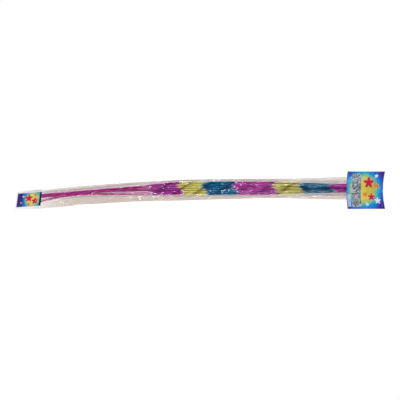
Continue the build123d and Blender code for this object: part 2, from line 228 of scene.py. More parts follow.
# Stars on the header: place, colour and radius.
HEADER_STARS = (
    ((0.60, 0.70), CRIMSON, 0.17),
    ((0.83, 0.62), ORANGE, 0.09),
    ((0.50, 0.38), ORANGE, 0.08),
    ((0.68, 0.32), CRIMSON, 0.11),
    ((0.84, 0.22), SILVER, 0.10),
    ((0.55, 0.13), SILVER, 0.06),
    ((0.80, 0.88), SILVER, 0.06),
)
SPARKS = 11.0  # rows of small sparks in the height of the header
SPARK_RANGE = (0.10, 0.16)
SPARK_STRENGTH = 0.8
# Panels on the header: left, right, lower and upper edge.
FOIL_PANEL = (0.14, 0.39, 0.05, 0.95)
PALE_PANEL = (0.02, 0.11, 0.06, 0.40)
PALE = (0.32, 0.40, 0.50)
FLECKS = 34.0  # rows of flecks in the height of the header
FOIL = (
    (0.15, (0.03, 0.04, 0.05)),
    (0.50, (0.17, 0.20, 0.23)),
    (0.85, (0.45, 0.51, 0.57)),
)
INSERT_FADE_LENGTH = 1.8
INSERT_FADE = (
    (0.03, (0.04, 0.014, 0.18)),
    (0.18, (0.022, 0.028, 0.26)),
    (0.30, (0.015, 0.18, 0.50)),
    (0.48, (0.03, 0.34, 0.42)),
    (0.90, (0.04, 0.36, 0.44)),
)
INSERT_GLOW_MIDDLE = (1.10, 0.5)
INSERT_GLOW_SIZE = (0.62, 0.62)
INSERT_GLOW_RANGE = (0.55, 0.95)
INSERT_GLOW_STRENGTH = 0.85
STRIPE = (1.64, 1.88, -1.0, 2.0)  # a black stripe at the card's open end, running past the card's edges
STRIPE_BLACK = (0.010, 0.010, 0.012)
# Stars on the insert: place, colour and radius.
INSERT_STARS = (
    ((0.86, 0.60), CRIMSON, 0.30),
    ((1.32, 0.38), CRIMSON, 0.27),
    ((1.33, 0.80), ORANGE, 0.13),
    ((0.90, 0.17), ORANGE, 0.12),
    ((0.44, 0.74), SUNNY, 0.10),
    ((0.30, 0.30), SUNNY, 0.08),
)
INK = 260.0
INK_SHADES = ((0.82,) * 3, (1.12,) * 3)
COAT_GRAIN = 1400.0
COAT_ROUGHNESS = (0.30, 0.46)
COAT_SHINE = 0.3
PRINT_BUMP = (0.12, 0.0004)  # strength and depth
BOARD_FIBRES = 900.0
BOARD_SHADES = ((0.55, 0.53, 0.49), (0.72, 0.70, 0.66))
BOARD_ROUGHNESS = (0.75, 0.95)
BOARD_BUMP = (0.25, 0.0003)

# What stays as CAD made it: sticks, charges and staples.
BAMBOO_GRAIN = (12.0, 1600.0, 1600.0)
BAMBOO = (
    (0.3, (0.42, 0.27, 0.11)),
    (0.6, (0.68, 0.50, 0.26)),
    (0.8, (0.78, 0.62, 0.38)),
)
BAMBOO_ROUGHNESS = (0.45, 0.7)
BAMBOO_BUMP = (0.3, 0.0002)
POWDER_LUMPS = 900.0
POWDER_SHADES = ((0.10, 0.10, 0.105), (0.27, 0.27, 0.28))
POWDER_ROUGHNESS = (0.6, 0.95)
POWDER_BUMP = (0.6, 0.0003)
METAL_GRAINS = 2400.0
METAL_GRAIN_SIZE = 0.2  # share of a grain's cell
METAL = (0.75, 0.74, 0.70)
WIRE_STREAKS = (3000.0, 120.0, 3000.0)
WIRE_SHADES = ((0.45, 0.45, 0.46), (0.70, 0.70, 0.71))
WIRE_ROUGHNESS = (0.22, 0.42)
WIRE_BUMP = (0.15, 0.0001)

# The camera looks straight down; the photograph is a little more than a metre across.
PIXEL = 0.002711
VIEW_WIDTH = 400 * PIXEL
VIEW_BELOW = 9.8 * PIXEL  # the middle of the view lies this far below the middle of the pack
CAMERA_HEIGHT = 3.0
SENSOR = 36.0

# The studio: pale walls, a dark ceiling and a long lamp on each side.
WALL_LIGHT = 0.65
CEILING_LIGHT = 0.03
# The walls fade into the ceiling between these heights, 0 at the horizon and 1 overhead.
CEILING_EDGE = (0.30, 0.5)
LAMP_LENGTH = 1.3
LAMP_WIDTH = 0.50
LAMP_POWER = 37.0
LAMP_HEIGHT = 1.4
LAMP_SIDE = 1.5
SHADOW_REACH = (0.40, 0.08)  # the floor glows white outside this ellipse
SHADOW_FADE = (1.0, 1.3)  # where it begins and where it is whole, in sizes of the ellipse
FLOOR_REACH = 30
FLOOR_WHITE = (0.97, 0.97, 0.97)
FLOOR_ROUGHNESS = 0.9


def points_of(node):
    """All corner points of a CAD node, and its edges as pairs of them."""
    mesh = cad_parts[node].data
    points = np.empty(len(mesh.vertices) * 3)
    mesh.vertices.foreach_get("co", points)
    edges = np.empty(len(mesh.edges) * 2, dtype=np.int32)
    mesh.edges.foreach_get("vertices", edges)
    return points.reshape(-1, 3), edges.reshape(-1, 2)


def spans(node, stations, axis=0):
    """Lowest and highest corner of a CAD node's section at each station along an axis; nan where there is
    no section."""
    points, edges = points_of(node)
    a, b = points[edges[:, 0]], points[edges[:, 1]]
    low = np.full((len(stations), 3), np.nan)
    high = np.full((len(stations), 3), np.nan)
    for i, station in enumerate(stations):
        crossing = (a[:, axis] - station) * (b[:, axis] - station) < 0
        if crossing.any():
            start, end = a[crossing], b[crossing]
            share = (station - start[:, axis]) / (end[:, axis] - start[:, axis])
            hits = start + (end - start) * share[:, None]
            low[i], high[i] = hits.min(axis=0), hits.max(axis=0)
    return low, high


def centre_line(node, stations):
    """Centre and outer radius of a rod or tube at each x station, as columns y, z, radius."""
    low, high = spans(node, stations)
    middle = (low + high) / 2
    return np.column_stack([middle[:, 1:], (high - low)[:, 2] / 2])


def grid_faces(rows, columns, closed=False):
    """Quads of a grid of points that is stored row by row; a closed grid joins its last column to its
    first."""
    across = columns if closed else columns - 1
    faces = []
    for i in range(rows - 1):
        here, after = i * columns, (i + 1) * columns
        for j in range(across):
            k = (j + 1) % columns
            faces.append((here + j, here + k, after + k, after + j))
    return faces


def make_piece(name, points, faces, places, body, nodes, materials, kinds=()):
    """A smooth mesh that stands for CAD nodes. places are its points' own flat coordinates on the sheet,
    and kinds says which of the materials each face has, where there are several."""
    mesh = bpy.data.meshes.new(name)
    mesh.from_pydata([tuple(p) for p in points], [], faces)
    layer = mesh.uv_layers.new(name="flat")
    corners = np.empty(len(mesh.loops), dtype=np.int32)
    mesh.loops.foreach_get("vertex_index", corners)
    layer.data.foreach_set("uv", np.asarray(places, dtype=np.float32)[corners].ravel())
    mesh.shade_smooth()
    for material in materials:
        mesh.materials.append(material)
    if kinds:
        mesh.polygons.foreach_set("material_index", kinds)
    piece = bpy.data.objects.new(name, mesh)
    bpy.context.scene.collection.objects.link(piece)
    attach(piece, body)
    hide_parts(*nodes)
    return piece


class Shader:
    """A material's nodes. Most calls add a node, take numbers or sockets, and give the new socket."""

    def __init__(self, name):
        self.material = bpy.data.materials.new(name)
        self.material.use_nodes = True
        self.nodes = self.material.node_tree.nodes
        self.links = self.material.node_tree.links
        self.surface = self.nodes["Principled BSDF"]

    def feed(self, socket, value):
        if isinstance(value, bpy.types.NodeSocket):
            self.links.new(value, socket)
        elif socket.type == "RGBA" and len(value) == 3:
            socket.default_value = (*value, 1.0)
        else:
            socket.default_value = value

    def set(self, **inputs):
        for name, value in inputs.items():
            self.feed(self.surface.inputs[name.replace("_", " ")], value)

    def math(self, operation, *values):
        node = self.nodes.new("ShaderNodeMath")
        node.operation = operation
        for socket, value in zip(node.inputs, values):
            self.feed(socket, value)
        return node.outputs[0]

    def flat(self):
        """The two coordinates of the sheet that the piece was made from."""
        node = self.nodes.new("ShaderNodeUVMap")
        node.uv_map = "flat"
        split = self.nodes.new("ShaderNodeSeparateXYZ")
        self.links.new(node.outputs[0], split.inputs[0])
        return split.outputs[0], split.outputs[1]

    def place(self):
        return self.nodes.new("ShaderNodeTexCoord").outputs["Object"]

    def vector(self, x, y, z=0.0):
        node = self.nodes.new("ShaderNodeCombineXYZ")
        for socket, value in zip(node.inputs, (x, y, z)):
            self.feed(socket, value)
        return node.outputs[0]

    def stretched(self, vector, scale):
        node = self.nodes.new("ShaderNodeVectorMath")
        node.operation = "MULTIPLY"
        self.feed(node.inputs[0], vector)
        self.feed(node.inputs[1], scale)
        return node.outputs[0]

    def noise(self, vector, scale, detail=3.0, roughness=0.5, distortion=0.0):
        node = self.nodes.new("ShaderNodeTexNoise")
        self.feed(node.inputs["Vector"], vector)
        self.feed(node.inputs["Scale"], scale)
        self.feed(node.inputs["Detail"], detail)
        self.feed(node.inputs["Roughness"], roughness)
        self.feed(node.inputs["Distortion"], distortion)
        return node.outputs[0]

    def cells(self, vector, scale):
        node = self.nodes.new("ShaderNodeTexVoronoi")
        self.feed(node.inputs["Vector"], vector)
        self.feed(node.inputs["Scale"], scale)
        return node.outputs

    def ramp(self, value, stops):
        node = self.nodes.new("ShaderNodeValToRGB")
        elements = node.color_ramp.elements
        while len(elements) < len(stops):
            elements.new(1.0)
        for element, (position, colour) in zip(elements, stops):
            element.position = position
            element.color = (*colour, 1.0)
        self.feed(node.inputs[0], value)
        return node.outputs[0]

    def between(self, value, low, high, to_low=0.0, to_high=1.0):
        node = self.nodes.new("ShaderNodeMapRange")
        for socket, number in zip(node.inputs, (value, low, high, to_low, to_high)):
            self.feed(socket, number)
        return node.outputs[0]

    def shades(self, texture, dark, light):
        """Colour from dark to light over a noise texture's usual values."""
        return self.ramp(texture, list(zip(NOISE_RANGE, (dark, light))))

    def spread(self, texture, to_low=0.0, to_high=1.0):
        """Number from one to another over a noise texture's usual values."""
        return self.between(texture, *NOISE_RANGE, to_low, to_high)

    def mix(self, factor, a, b, blend="MIX"):
        node = self.nodes.new("ShaderNodeMix")
        node.data_type = "RGBA"
        node.blend_type = blend
        self.feed(node.inputs["Factor"], factor)
        self.feed(node.inputs[6], a)
        self.feed(node.inputs[7], b)
        return node.outputs[2]

    def power(self, colour, exponent):
        node = self.nodes.new("ShaderNodeGamma")
        self.feed(node.inputs["Color"], colour)
        self.feed(node.inputs["Gamma"], exponent)
        return node.outputs[0]

    def bump(self, height, strength, distance):
        node = self.nodes.new("ShaderNodeBump")
        self.feed(node.inputs["Strength"], strength)
        self.feed(node.inputs["Distance"], distance)
        self.feed(node.inputs["Height"], height)
        return node.outputs[0]

    def cover(self, share, coat):
        """Mixes another shader into the surface by the given share."""
        blend = self.nodes.new("ShaderNodeMixShader")
        self.feed(blend.inputs[0], share)
        self.links.new(self.surface.outputs[0], blend.inputs[1])
        self.links.new(coat.outputs[0], blend.inputs[2])
        self.links.new(blend.outputs[0], self.nodes["Material Output"].inputs["Surface"])


def tissue(name, dye):
    """Thin dyed tissue paper: dye(shader, along, around) colours it, streaks and fibres run along the strip,
    pale streaks are partly thin dye and partly a painted sheen, and the strip's outer edge shows here and
    there as a dark seam that is partly painted shadow of the raised edge."""
    s = Shader(name)
    along, around = s.flat()
    strip = s.vector(along, s.math("MULTIPLY", around, STRIP_TURN))
    streaks = s.noise(s.stretched(strip, STREAKS), 1.0, 3.0, 0.6)
    patches = s.noise(s.stretched(strip, PATCHES), 1.0, 2.0, 0.5)
    streaky = s.math("MULTIPLY", streaks, STREAK_SHARE)
    patchy = s.math("MULTIPLY", patches, 1 - STREAK_SHARE)
    strength = s.between(s.math("ADD", streaky, patchy), *UNEVEN_RANGE, *DYE_STRENGTH)
    colour = s.power(dye(s, along, around), strength)
    # pale streaks: partly thin dye, partly a painted sheen of the film over the tissue
    colour = s.mix(s.between(streaks, *THIN_DYE_AND_SHEEN_RANGE, 0.0, THIN_DYE_AND_SHEEN), colour, UNDYED)
    turn = s.math("FRACT", around)
    edge = s.math("MINIMUM", turn, s.math("SUBTRACT", 1.0, turn))
    stretches = s.noise(s.vector(s.math("MULTIPLY", along, SEAM_STRETCHES), around), 1.0, 1.0)
    seam_shadow_shown = s.between(stretches, *SEAM_SHADOW_SHOWN)
    # painted shadow of the strip's raised edge, laid on as a dark seam line in some stretches
    seam = s.math("MULTIPLY", s.between(edge, SEAM_CORE, SEAM_FADE, 1.0, 0.0), seam_shadow_shown)
    colour = s.mix(seam, colour, SEAM_PAINTED_SHADOW, "MULTIPLY")
    fibres = s.noise(s.stretched(strip, FIBRES), 1.0, 5.0, 0.7)
    height = s.math("ADD", fibres, s.math("MULTIPLY", streaks, STREAK_RELIEF))
    roughness = s.between(fibres, *TISSUE_FIBRE_RANGE, *TISSUE_ROUGHNESS)
    s.set(Base_Color=colour, Roughness=roughness, Specular_IOR_Level=TISSUE_SHINE)
    s.set(Normal=s.bump(height, *TISSUE_BUMP))
    return s.material


def charge_dye(s, along, around):
    """Bands of dye with ragged ends, paler where they run into each other."""
    length = DYE_BANDS[-1][1] - DYE_START
    overlaid, alone, bare = MEETING
    rag = s.noise(s.stretched(s.vector(along, around), (*RAG_SCALE, 1.0)), 1.0, 4.0, 0.6)
    place = s.math("ADD", along, s.math("MULTIPLY", s.math("SUBTRACT", rag, 0.5), DYE_RAG))
    stops = []
    for (colour, end), (following, _) in zip(DYE_BANDS, DYE_BANDS[1:]):
        mixed = [overlaid * math.sqrt(a * b) + alone * (a + b) for a, b in zip(colour, following)]
        pale = tuple(m + bare * c for m, c in zip(mixed, UNDYED))
        for offset, tone in ((-DYE_BLEND / 2, colour), (0.0, pale), (DYE_BLEND / 2, following)):
            stops.append(((end + offset - DYE_START) / length, tone))
    return s.ramp(s.between(place, DYE_START, DYE_BANDS[-1][1]), stops)


def handle_dye(s, along, around):
    """One colour all along, in lighter and darker patches."""
    patches = s.noise(s.vector(s.math("MULTIPLY", along, HANDLE_PATCHES), around), 1.0, 3.0)
    return s.mix(s.spread(patches), HANDLE_MAGENTA, tuple(HANDLE_SHADE * c for c in HANDLE_MAGENTA))


def film():
    """Thin creased plastic film: clear gloss over a haze of its own, which the sheet's points give."""
    s = Shader("film")
    place = s.place()
    cloud = s.between(s.noise(place, FILM_CLOUDS, 4.0, 0.6), *CLOUD_RANGE)
    specks = s.spread(s.noise(place, FILM_SPECKS, 2.0), *SPECK_HAZE)
    normal = s.bump(s.noise(place, FILM_RIPPLES, 2.0, 0.5, 0.4), *FILM_BUMP)
    colour = s.mix(cloud, tuple(CLOUD_SHADE * c for c in FILM_COLOUR), FILM_COLOUR)
    s.set(Base_Color=colour, Roughness=FILM_ROUGHNESS, Normal=normal)
    haze = s.nodes.new("ShaderNodeAttribute")
    haze.attribute_name = "haze"
    uneven = s.math("MULTIPLY", specks, s.between(cloud, 0.0, 1.0, *CLOUD_HAZE))
    s.set(Alpha=s.math("MULTIPLY", haze.outputs["Fac"], uneven))
    gloss = s.nodes.new("ShaderNodeBsdfAnisotropic")
    s.feed(gloss.inputs["Roughness"], FILM_GLOSS_ROUGHNESS)
    s.feed(gloss.inputs["Normal"], normal)
    facing = s.nodes.new("ShaderNodeLayerWeight").outputs["Facing"]
    grazing = s.math("POWER", facing, GRAZING_POWER)
    s.cover(s.between(grazing, 0.0, 1.0, FILM_GLOSS, 1.0), gloss)
    return s.material


def wound_wrap(sparkler, winding, material, shift):
    """One strip of tissue wound round a sparkler: a snail section whose outer edge runs in a spiral seam."""
    node = f"{sparkler}_{winding.layer}_wrap"
    number = SPARKLERS.index(sparkler)
    seed = number * SEED_STEP
    low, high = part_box(node)
    count = round((high.x - low.x) / winding.step)
    stations = np.linspace(low.x + RING_INSET, high.x - RING_INSET, count)
    line = centre_line(node, stations)
    sides, ring = winding.sides, winding.sides + 1
    points, places = [], []
    for x, (y, z, radius) in zip(stations, line):
        for k in range(ring):
            share = k / sides
            angle = 2 * math.pi * (share - x / winding.pitch) + seed
            creased = noise.noise(Vector((x * PAPER_CREASES[0], share * PAPER_CREASES[1], seed))) - 1
            r = radius + LOOSE - winding.lap * (1 - share) + winding.crease * creased
            points.append((x, y + r * math.cos(angle), z + r * math.sin(angle)))
            places.append((x - shift, number + share))
    faces = grid_faces(count, ring, closed=True)
    inner = sorted({*range(0, count, INNER_STEP), count - 1})
    first = len(points)
    for i in inner:
        x, (y, z, radius) = stations[i], line[i]
        for k in range(ring):
            angle = 2 * math.pi * (k / ring - x / winding.pitch) + seed
            r = radius - winding.paper
            points.append((x, y + r * math.cos(angle), z + r * math.sin(angle)))
            places.append((x - shift, number + k / sides))
    for face in grid_faces(len(inner), ring, closed=True):
        faces.append(tuple(first + i for i in reversed(face)))
    last_outer, last_inner = (count - 1) * ring, first + (len(inner) - 1) * ring
    for k in range(ring):
        n = (k + 1) % ring
        faces.append((n, k, first + k, first + n))
        faces.append((last_outer + k, last_outer + n, last_inner + n, last_inner + k))
    make_piece(f"{node}_tissue", points, faces, places, sparkler, [node], [material])


charge_tissue = tissue("charge_tissue", charge_dye)
handle_tissue = tissue("handle_tissue", handle_dye)
for name, shift in zip(SPARKLERS, DYE_SHIFTS):
    wound_wrap(name, CHARGE, charge_tissue, shift)
    wound_wrap(name, HANDLE, handle_tissue, shift)


def bag_contents(stations, across):
    """Height of whatever lies in the bag at each y across each station, 0 where nothing does, and how far
    away in plan it is."""
    heights, gaps = np.zeros(across.shape), np.ones(across.shape)
    for name in SPARKLERS:
        for layer in ("stick", "handle_wrap", "charge_wrap"):
            line = centre_line(f"{name}_{layer}", stations)
            for rows in SLIDE_ROWS:
                y, z, radius = np.roll(line, rows, axis=0).T[:, :, None]
                reach = radius + FILM_ROOM
                gap = np.abs(across - y) - reach
                top = z + np.sqrt(np.where(gap < 0, reach**2 - (across - y) ** 2, 0.0))
                heights = np.where(gap < 0, np.maximum(heights, top), heights)
                gaps = np.fmin(gaps, gap)
    low, high = spans("insert_card", stations)
    gap = np.maximum(low[:, 1:2] - across, across - high[:, 1:2])
    heights = np.where(gap < 0, np.maximum(heights, high[:, 2:] + FILM_ROOM), heights)
    return heights, np.fmin(gaps, gap)


def slack_film(ys, zs, bare):
    """Height of film over the points zs: it sags between two points that it touches, and most where one is
    bare, with nothing in the bag below it."""
    result = zs.copy()
    open_spans = [(0, len(ys) - 1)]
    while open_spans:
        a, b = open_spans.pop()
        span = ys[b] - ys[a]
        part = (ys[a:b + 1] - ys[a]) / span
        held = not bare[a] and not bare[b]
        sag = SAG_SHARE * span + TENT_SAG * abs(zs[b] - zs[a]) if held else FLAP_SLACK * span
        line = zs[a] + (zs[b] - zs[a]) * part - 4 * sag * part * (1 - part)
        middle = a + 1 + np.argmax((zs[a:b + 1] - line)[1:-1]) if b - a > 1 else a
        if zs[middle] > line[middle - a]:
            open_spans += [(a, middle), (middle, b)]
        else:
            result[a:b + 1] = line
    return result


def blurred(rows, reach):
    """Rows averaged with so many neighbours on each side."""
    padded = np.pad(rows, ((reach, reach), (0, 0)), mode="edge")
    return sum(padded[i:i + len(rows)] for i in range(2 * reach + 1)) / (2 * reach + 1)


def waves(stations, across):
    """Height of calm film: low peaks and hollows at random places, joined by flat facets."""
    chance = np.random.default_rng(WAVE_SEED)
    reach = abs(stations).max() * WAVE_REACH
    rows, columns = (round(2 * reach / size) for size in WAVE_SIZE)
    u, v = np.meshgrid(np.arange(rows) - rows / 2, np.arange(columns) - columns / 2, indexing="ij")
    u = (u + WAVE_JITTER * (chance.random(u.shape) - 0.5)) * WAVE_SIZE[0]
    v = (v + WAVE_JITTER * (chance.random(v.shape) - 0.5)) * WAVE_SIZE[1]
    cos, sin = math.cos(math.radians(WAVE_TURN)), math.sin(math.radians(WAVE_TURN))
    tops = WAVE_HEIGHT * chance.random(u.shape) ** 2
    corners = np.stack([u * cos - v * sin, u * sin + v * cos, tops], axis=-1).reshape(-1, 3)
    facets = BVHTree.FromPolygons(corners.tolist(), grid_faces(rows, columns))
    result = np.empty(across.shape)
    for i, x in enumerate(stations):
        for j, y in enumerate(across[i]):
            result[i, j] = facets.ray_cast(Vector((x, y, 1)), Vector((0, 0, -1)))[0].z
    return result


def creases(stations, across):
    """Height of the small roof-shaped creases in crumpled film, most of them along the bag."""
    chance = np.random.default_rng(CREASE_SEED)
    result = np.zeros(across.shape)
    rows = round(CREASE_LENGTH[1] / FILM_STEP) + 1
    for middle_x, middle_y, spread_x, spread_y, count in CRUMPLED:
        for _ in range(count):
            x, y = chance.normal(middle_x, spread_x), chance.normal(middle_y, spread_y)
            row = np.argmin(abs(stations - x))
            taken = result[row, np.argmin(abs(across[row] - y))] > 0
            turn = math.radians(chance.normal(0, CREASE_TURN))
            length, width = chance.uniform(*CREASE_LENGTH), chance.uniform(*CREASE_WIDTH)
            slope = math.tan(math.radians(chance.uniform(*CREASE_SLOPE)))
            near = slice(max(0, row - rows), row + rows + 1)
            dx, dy = stations[near, None] - x, across[near] - y
            along = dx * math.cos(turn) + dy * math.sin(turn)
            beside = dy * math.cos(turn) - dx * math.sin(turn)
            roof = slope * np.minimum(length - abs(along), width - abs(beside))
            if not taken:
                result[near] = np.maximum(result[near], roof)
    return result


def film_sheets():
    """Points of the front and back films, row by row, over one shared outline."""
    low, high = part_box("bag_front_film")
    count = round((high.x - low.x) / FILM_STEP)
    stations = np.linspace(low.x + CUT_INSET, high.x - CUT_INSET, count)
    outline_low, outline_high = spans("bag_back_film", stations)
    edge_low, edge_high, base = outline_low[:, 1:2], outline_high[:, 1:2], outline_low[:, 2:]
    across = edge_low + (edge_high - edge_low) * np.linspace(0, 1, FILM_COLUMNS)
    contents, gaps = bag_contents(stations, across)
    contact = np.maximum(contents, base + FILM_PLY)
    drape = np.array([slack_film(*row) for row in zip(across, contact, gaps > 0)])
    draped = blurred(drape, DRAPE_BLUR)
    weld = np.minimum(across - edge_low, edge_high - across)
    bare = np.clip(gaps / HAZE_REACH, 0, 1)
    room = np.clip((stations - stations[0] - SEAL_LENGTH) / SEAL_RAMP, 0, 1)
    room *= np.clip((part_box("header_card")[0].x - stations) / HEADER_RAMP, 0, 1)
    room = room[:, None] * np.clip(weld / WELD_REACH, 0, 1)
    wave = waves(stations, across)
    loose = wave * (HELD_WAVE + (1 - HELD_WAVE) * bare) + creases(stations, across)
    front = np.maximum(draped + loose * room, contact)
    back = base + FILM_PLY / 2 + BACK_WAVE * bare * room * wave[::-1]
    seam = (weld < SEAM_WIDTH) | (stations - stations[0] < SEAL_LENGTH)[:, None]
    welded = np.minimum(front, base + SEAM_PLIES * FILM_PLY)
    front = np.where(seam, welded, np.maximum(front, back + FILM_PLY))
    along = np.broadcast_to(stations[:, None], across.shape)
    places = np.stack([along, across], axis=-1).reshape(-1, 2)
    sheets = [np.stack([along, across, z], axis=-1).reshape(-1, 3) for z in (front, back)]
    covered = gaps < 0
    between = np.maximum.accumulate(covered, axis=1)
    between &= np.maximum.accumulate(covered[:, ::-1], axis=1)[:, ::-1]
    haze = bare * np.interp(stations, HAZE_PLACES, HAZE)[:, None]
    haze *= np.where(2 * across > edge_low + edge_high, UPPER_HAZE, 1.0)
    haze = FILM_CLEAR + haze * np.where(between, HAZE_BETWEEN, 1.0)
    return sheets, grid_faces(count, FILM_COLUMNS), places, haze.ravel()


def make_bag():
    """The bag's two films, each with its haze at every point."""
    (front, back), faces, places, haze = film_sheets()
    material = film()
    upward = [tuple(reversed(face)) for face in faces]
    for name, points, quads in (("bag_front", front, upward), ("bag_back", back, faces)):
        piece = make_piece(name, points, quads, places, "pack", [f"{name}_film"], [material])
        piece.data.set_sharp_from_angle(angle=math.radians(CREASE_ANGLE))
        piece.data.attributes.new("haze", "FLOAT", "POINT").data.foreach_set("value", haze)


make_bag()


def panel_heights(node, plan, us, vs):
    """Heights of a folded card's upper and lower faces over a grid of places in plan."""
    points, _ = points_of(node)
    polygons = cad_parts[node].data.polygons
    solid = BVHTree.FromPolygons([tuple(p) for p in points], [tuple(f.vertices) for f in polygons])
    us = np.clip(us, CARD_MARGIN, 1 - FOLD_MARGIN)
    vs = np.clip(vs, CARD_MARGIN, 1 - CARD_MARGIN)
    heights = np.empty((2, len(us), len(vs)))
    for i, u in enumerate(us):
        for j, v in enumerate(vs):
            x, y = plan(u, v)
            heights[0, i, j] = solid.ray_cast(Vector((x, y, 1)), Vector((0, 0, -1)))[0].z
            heights[1, i, j] = solid.ray_cast(Vector((x, y, -1)), Vector((0, 0, 1)))[0].z
    return [blurred(blurred(h, CARD_BLUR).T, CARD_BLUR).T for h in heights]


def folded_card(name, node, plan, grid, art, materials):
    """A sheet of board folded in two. plan(u, v) gives the place in plan from the open edge, u = 0, to the
    fold, and art(u, v) the same place on the printed picture."""
    rows, columns = grid
    us, vs = np.linspace(0, 1, rows), np.linspace(0, 1, columns)
    top, bottom = panel_heights(node, plan, us, vs)
    outer, inner, places = [], [], []
    for i, u in enumerate(us):
        for j, v in enumerate(vs):
            x, y = plan(u, v)
            outer.append((x, y, top[i, j]))
            inner.append((x, y, top[i, j] - BOARD))
            places.append(art(u, v))
    for turn in np.linspace(0, math.pi, FOLD_STEPS + 2)[1:-1]:
        for j, v in enumerate(vs):
            (x, y), (beside, _) = plan(1, v), plan(1 - CARD_MARGIN, v)
            radius = (top[-1, j] - bottom[-1, j]) / 2
            out = math.copysign(math.sin(turn), x - beside)
            middle = top[-1, j] - radius
            outer.append((x + radius * out, y, middle + radius * math.cos(turn)))
            inner.append((x + (radius - BOARD) * out, y, middle + (radius - BOARD) * math.cos(turn)))
            places.append(art(1, v))
    for i, u in reversed(list(enumerate(us))):
        for j, v in enumerate(vs):
            x, y = plan(u, v)
            outer.append((x, y, bottom[i, j]))
            inner.append((x, y, bottom[i, j] + BOARD))
            places.append((art(u, v)[0] + BACK_ART, art(u, v)[1]))
    strip = 2 * rows + FOLD_STEPS
    faces = grid_faces(strip, columns)
    printed = len(faces)
    first = len(outer)
    faces += [tuple(first + i for i in reversed(f)) for f in grid_faces(strip, columns)]
    rim = [*range(columns), *range(2 * columns - 1, strip * columns, columns)]
    rim += range(strip * columns - 2, (strip - 1) * columns - 1, -1)
    rim += range((strip - 2) * columns, 0, -columns)
    for a, b in zip(rim, rim[1:] + rim[:1]):
        faces.append((b, a, first + a, first + b))
    (ax, ay), (bx, by), (cx, cy) = plan(0, 0), plan(1, 0), plan(0, 1)
    if (bx - ax) * (cy - ay) < (by - ay) * (cx - ax):
        faces = [tuple(reversed(f)) for f in faces]
    kinds = [0] * printed + [1] * (len(faces) - printed)
    make_piece(name, outer + inner, faces, places * 2, "pack", [node], materials, kinds)


def header_plan():
    """The header card's place in plan: its open edge bows out and its fold is drawn in."""
    low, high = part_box("header_card")
    ys = np.linspace(low.y + CUT_INSET, high.y - CUT_INSET, HEADER_GRID[1])
    edges = spans("header_card", ys, axis=1)
    open_edge, fold = edges[0][:, 0], edges[1][:, 0]

    def plan(u, v):
        y = ys[0] + (ys[-1] - ys[0]) * v
        start, end = np.interp(y, ys, open_edge), np.interp(y, ys, fold) - HEADER_FOLD
        return start + (end - start) * u, y

    return plan


def insert_plan():
    """The insert card's place in plan, between its four corners; its fold is at the left."""
    points, _ = points_of("insert_card")
    corners = {}
    for x_sign in (-1, 1):
        for y_sign in (-1, 1):
            reach = x_sign * points[:, 0] + y_sign * points[:, 1]
            corners[x_sign, y_sign] = points[np.argmax(reach), :2]

    def plan(u, v):
        right = corners[1, -1] * (1 - v) + corners[1, 1] * v
        left = corners[-1, -1] * (1 - v) + corners[-1, 1] * v + (INSERT_FOLD, 0)
        x, y = right * (1 - u) + left * u
        return x, y

    return plan


def distance(s, x, y, middle, size=(1.0, 1.0)):
    """Distance from a place on a flat sheet, and the direction, with x and y measured in the given sizes."""
    dx = s.math("DIVIDE", s.math("SUBTRACT", x, middle[0]), size[0])
    dy = s.math("DIVIDE", s.math("SUBTRACT", y, middle[1]), size[1])
    away = s.math("SQRT", s.math("ADD", s.math("MULTIPLY", dx, dx), s.math("MULTIPLY", dy, dy)))
    return away, s.math("ARCTAN2", dy, dx)


def star(s, x, y, middle, radius):
    """1 inside a star with one point upward, 0 outside."""
    away, angle = distance(s, x, y, middle)
    turn = s.math("MULTIPLY", s.math("ADD", angle, math.pi * 1.5), STAR_POINTS / (2 * math.pi))
    edge = s.between(s.math("PINGPONG", turn, 0.5), 0.0, 0.5, radius, STAR_WAIST * radius)
    return s.between(away, s.math("SUBTRACT", edge, STAR_SOFT), edge, 1.0, 0.0)


def panel(s, x, y, left, right, low, high):
    """1 inside a rectangle, 0 outside."""
    beside = s.math("MULTIPLY", s.math("GREATER_THAN", x, left), s.math("LESS_THAN", x, right))
    within = s.math("MULTIPLY", s.math("GREATER_THAN", y, low), s.math("LESS_THAN", y, high))
    return s.math("MULTIPLY", beside, within)


def finish_print(s, colour):
    """Print on coated board: a little uneven in the ink, with the board's grain in the gloss."""
    place = s.place()
    ink = s.noise(place, INK, 4.0, 0.6)
    grain = s.noise(place, COAT_GRAIN, 3.0, 0.6)
    colour = s.mix(1.0, colour, s.shades(ink, *INK_SHADES), "MULTIPLY")
    s.set(Base_Color=colour, Roughness=s.spread(grain, *COAT_ROUGHNESS), Specular_IOR_Level=COAT_SHINE)
    s.set(Normal=s.bump(s.math("ADD", ink, grain), *PRINT_BUMP))
    return s.material


def header_print():
    """A glow from yellow to violet, a band of silver flecks, a bare pale panel, and stars among sparks."""
    s = Shader("header_print")
    x, y = s.flat()
    sheet = s.vector(x, y)
    away, _ = distance(s, x, y, GLOW_MIDDLE, GLOW_SIZE)
    wander = s.between(s.noise(sheet, GLOW_WANDER_SCALE, 2.0), 0.0, 1.0, -GLOW_WANDER, GLOW_WANDER)
    colour = s.ramp(s.math("ADD", away, wander), GLOW)
    sparks = s.between(s.cells(sheet, SPARKS)["Distance"], *SPARK_RANGE, SPARK_STRENGTH, 0.0)
    colour = s.mix(sparks, colour, SILVER)
    foil = s.ramp(s.cells(sheet, FLECKS)["Color"], FOIL)
    colour = s.mix(panel(s, x, y, *FOIL_PANEL), colour, foil)
    colour = s.mix(panel(s, x, y, *PALE_PANEL), colour, PALE)
    for middle, ink, radius in HEADER_STARS:
        colour = s.mix(star(s, x, y, middle, radius), colour, ink)
    return finish_print(s, colour)


